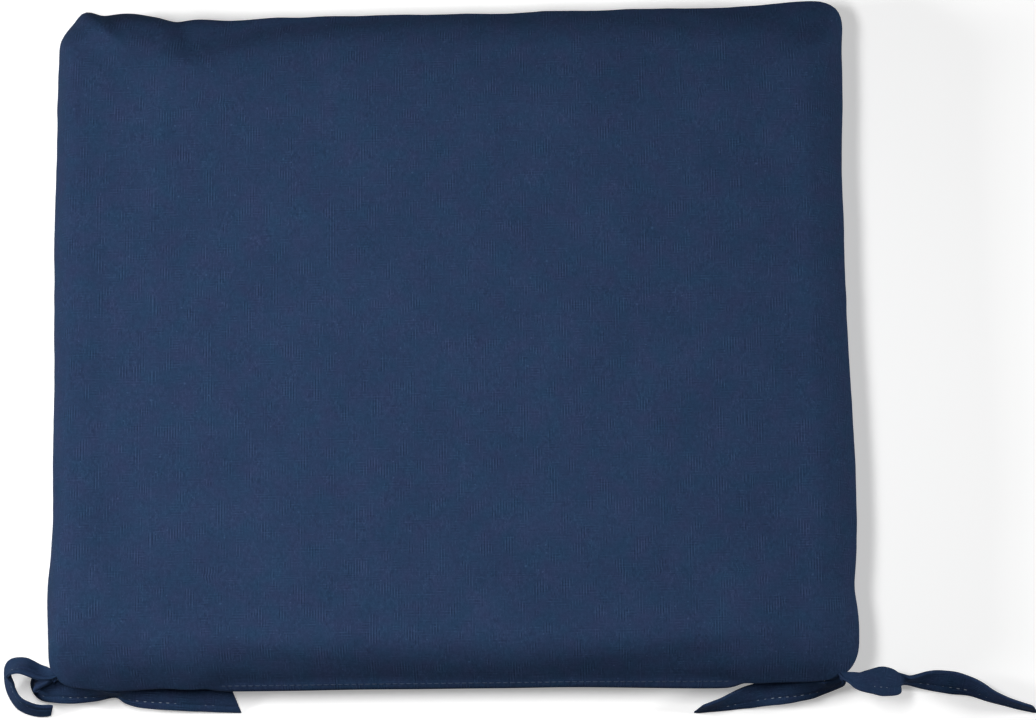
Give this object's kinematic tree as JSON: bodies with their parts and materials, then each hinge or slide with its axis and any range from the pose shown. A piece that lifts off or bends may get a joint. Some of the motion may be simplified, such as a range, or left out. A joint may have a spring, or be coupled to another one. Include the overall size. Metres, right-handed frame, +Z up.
{
  "type": "chair seat pad",
  "caption": "Square foam pad for a chair, in a slub canvas cover with knife-edge seams and canvas ties at its back corners.",
  "frame": {"origin": "middle of the pad's flat underside, which rests on the chair", "axes": "+X to the sitter's right, +Y towards the front edge, +Z up; the ties and the closing lip are at the back, towards -Y"},
  "size_m": [0.6034, 0.4223, 0.05],
  "materials": {
    "canvas": "matte",
    "tie_canvas": "matte",
    "wadding": "matte",
    "foam": "matte",
    "thread": "matte",
    "topstitch": "matte",
    "tie_thread": "matte"
  },
  "bodies": {
    "pad": {"top_panel": "canvas", "bottom_panel": "canvas", "top_wadding": "wadding", "bottom_wadding": "wadding", "foam_core": "foam", "seam_thread": "thread", "closure_stitching": "topstitch", "tie_left_root": "tie_canvas", "tie_left_bartack": "thread", "tie_right_root": "tie_canvas", "tie_right_bartack": "thread"},
    "left_outer_tail": {"tie_left_outer": "tie_canvas", "tie_left_outer_stitching": "tie_thread"},
    "left_inner_tail": {"tie_left_inner": "tie_canvas", "tie_left_inner_stitching": "tie_thread"},
    "right_inner_tail": {"tie_right_inner": "tie_canvas", "tie_right_inner_stitching": "tie_thread"},
    "right_outer_tail": {"tie_right_outer": "tie_canvas", "tie_right_outer_stitching": "tie_thread"}
  },
  "joints": [
    {"name": "left_outer_swing", "type": "hinge", "parent": "pad", "child": "left_outer_tail", "pos_m": [-0.23236, -0.19261, 0.025], "axis": [0, 0, 1], "range_deg": [-20, 10]},
    {"name": "left_inner_swing", "type": "hinge", "parent": "pad", "child": "left_inner_tail", "pos_m": [-0.23236, -0.19261, 0.025], "axis": [0, 0, 1], "range_deg": [-50, 0]},
    {"name": "right_inner_swing", "type": "hinge", "parent": "pad", "child": "right_inner_tail", "pos_m": [0.22649, -0.19798, 0.025], "axis": [0, 0, 1], "range_deg": [0, 70]},
    {"name": "right_outer_swing", "type": "hinge", "parent": "pad", "child": "right_outer_tail", "pos_m": [0.22649, -0.19798, 0.025], "axis": [0, 0, 1], "range_deg": [-45, 45]}
  ]
}
